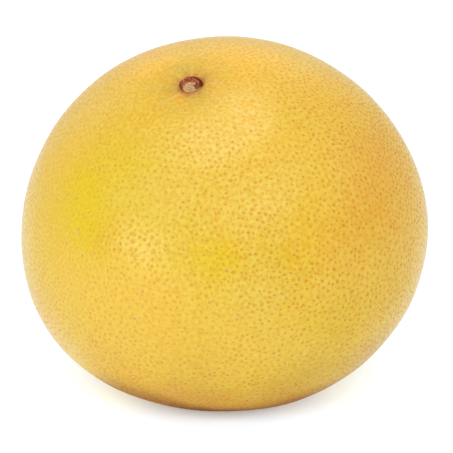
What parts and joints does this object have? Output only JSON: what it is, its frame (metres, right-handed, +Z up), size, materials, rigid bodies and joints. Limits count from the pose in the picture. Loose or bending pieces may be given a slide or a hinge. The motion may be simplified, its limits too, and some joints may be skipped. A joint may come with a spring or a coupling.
{
  "type": "pink grapefruit",
  "caption": "Whole ripe pink grapefruit, a slightly flattened globe with a sunken stem scar, resting tilted on a small flat spot.",
  "frame": {"origin": "on the surface the fruit rests on, under the middle of its box", "axes": "+Z up from the resting surface; the stem end points up and leans towards -Y and a little towards -X, so the stem scar faces the front left"},
  "size_m": [0.1104, 0.1072, 0.0991],
  "materials": {
    "peel": null,
    "stem_scar": "dry corky scar, pale tan floor and red-brown wall, dull and grainy"
  },
  "bodies": {
    "root": {"grapefruit": "peel"}
  },
  "joints": []
}
